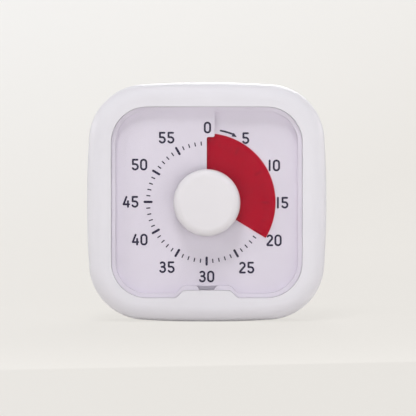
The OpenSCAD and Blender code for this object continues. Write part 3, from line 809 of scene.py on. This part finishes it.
def backdrop_material():
    finish, nodes, links = start_finish("backdrop_paint")
    out = nodes.new("ShaderNodeOutputMaterial")
    paint = nodes.new("ShaderNodeBsdfDiffuse")
    paint.inputs["Color"].default_value = tint((228, 225, 221))
    glow = nodes.new("ShaderNodeEmission")
    where = nodes.new("ShaderNodeTexCoord")
    slope = nodes.new("ShaderNodeVectorMath")
    slope.operation = "DOT_PRODUCT"
    slope.inputs[1].default_value = GLOW_SLOPE
    links.new(where.outputs["Object"], slope.inputs[0])
    low = tint((233, 230, 225))
    high = tint((247, 246, 244))
    shade = between(nodes, links, slope.outputs["Value"], low, high, span=(0.0, 1.0))
    links.new(shade, glow.inputs["Color"])
    share = nodes.new("ShaderNodeMath")
    share.operation = "MULTIPLY"
    share.inputs[1].default_value = GLOW_SHARE
    links.new(seen_directly(nodes, links), share.inputs[0])
    mix = nodes.new("ShaderNodeMixShader")
    links.new(share.outputs["Value"], mix.inputs["Fac"])
    links.new(paint.outputs["BSDF"], mix.inputs[1])
    links.new(glow.outputs["Emission"], mix.inputs[2])
    links.new(mix.outputs["Shader"], out.inputs["Surface"])
    return finish


sheet.data.materials.append(backdrop_material())
print("backdrop finish:", sheet.data.materials[0].name)

# %% [markdown]
# ## Light
# The light is even, as in a white tent, but some of it has to draw the relief. A lamp high in
# front throws the bezel's soft shadow on the top of the dial and the knob's below it. One far
# to the left draws the step of the dial beside the slit, and a weak one to the right keeps that
# side from falling off. One above and a white card on the table fill the rounded edges.
# A broad lamp in front gives what is left. These are kept out of the reflections, as a
# polarising filter would do, because the flat cover would mirror them whole. Two more light the
# flanks, and one lights the back.
#
# Each lamp is an area lamp that faces the dial's axis. Its place and size are in metres.

# %% Lamps
def soft_lamp(name, place, size, watts, mirrored=True):
    lamp = bpy.data.lights.new(name, "AREA")
    lamp.shape = "RECTANGLE"
    lamp.size, lamp.size_y = size
    lamp.energy = watts
    holder = add_object(name, lamp)
    holder.visible_camera = False
    holder.visible_glossy = mirrored
    holder.location = place
    aim = dial_axis - Vector(place)
    holder.rotation_euler = aim.to_track_quat("-Z", "Y").to_euler()
    return holder


soft_lamp("front_lamp", (-0.08, -2.2, 0.2), (0.8, 0.5), 6.8, mirrored=False)
soft_lamp("top_lamp", (-0.25, -1.02, 1.66), (0.5, 0.5), 12, mirrored=False)
soft_lamp("left_lamp", (-1.75, -0.9, 0.6), (0.45, 0.45), 6.5, mirrored=False)
soft_lamp("right_lamp", (1.4, -0.4, 0.12), (0.5, 0.5), 3, mirrored=False)
soft_lamp("left_rim_lamp", (-1.45, 0.45, 0.4), (0.6, 0.4), 4)
soft_lamp("right_rim_lamp", (1.45, 0.45, 0.4), (0.6, 0.4), 5)
soft_lamp("over_lamp", (0, -0.35, 1.3), (0.5, 0.5), 4.5, mirrored=False)
soft_lamp("bounce_card", (0.06, -0.28, 0.004), (0.6, 0.3), 0.65, mirrored=False)
soft_lamp("back_lamp", (0.2, 1.1, 1.0), (0.7, 0.7), 8)
watts = sum(lamp.energy for lamp in bpy.data.lights)
print("lamps:", len(bpy.data.lights), "watts:", round(watts, 2))

# %% [markdown]
# ## The room round it
# The world gives a little light all round, as the walls of a room do. Eyes and mirrors see it
# as a pale wall, as they see the backdrop, so the same test of the rays parts the two.

# %% Pale room
FILL_LIGHT = 0.1


def pale_room():
    """A world that gives faint light all round, and that eyes and mirrors see as a pale wall."""
    room = bpy.data.worlds.new("pale_room")
    room.use_nodes = True
    nodes, links = room.node_tree.nodes, room.node_tree.links
    nodes.clear()
    out = nodes.new("ShaderNodeOutputWorld")
    dim = nodes.new("ShaderNodeBackground")
    dim.inputs["Color"].default_value = (1, 1, 1, 1)
    dim.inputs["Strength"].default_value = FILL_LIGHT
    wall = nodes.new("ShaderNodeBackground")
    wall.inputs["Color"].default_value = tint((240, 238, 235))
    mix = nodes.new("ShaderNodeMixShader")
    links.new(seen_directly(nodes, links), mix.inputs["Fac"])
    links.new(dim.outputs["Background"], mix.inputs[1])
    links.new(wall.outputs["Background"], mix.inputs[2])
    links.new(mix.outputs["Shader"], out.inputs["Surface"])
    return room


bpy.context.scene.world = pale_room()
print("world:", bpy.context.scene.world.name)

# %% [markdown]
# ## Camera
# The timer is seen almost straight on, from a little above. The camera stands well back with a
# long lens, so the knob isn't swollen by perspective. Its lens follows from the width that the
# frame covers at the case. The Standard view shows the colours as they were given.

# %% Camera
STAND_OFF = 1.5
FRAME_WIDTH = 243.3 * MM
AZIMUTH = math.radians(-0.4)
ELEVATION = math.radians(1.7)
aim_at = Vector((0.755 * MM, -4.5 * MM, 66.25 * MM))
toward = Vector((
    math.sin(AZIMUTH) * math.cos(ELEVATION),
    -math.cos(AZIMUTH) * math.cos(ELEVATION),
    math.sin(ELEVATION),
))
eye = bpy.data.cameras.new("camera")
eye.sensor_width = 36
eye.lens = eye.sensor_width * STAND_OFF / FRAME_WIDTH
eye.clip_end = 50
camera = add_object("camera", eye)
camera.location = aim_at + toward * STAND_OFF
camera.rotation_euler = (-toward).to_track_quat("-Z", "Y").to_euler()
bpy.context.scene.camera = camera
bpy.context.scene.view_settings.view_transform = "Standard"
print("lens", round(eye.lens, 1), "mm")
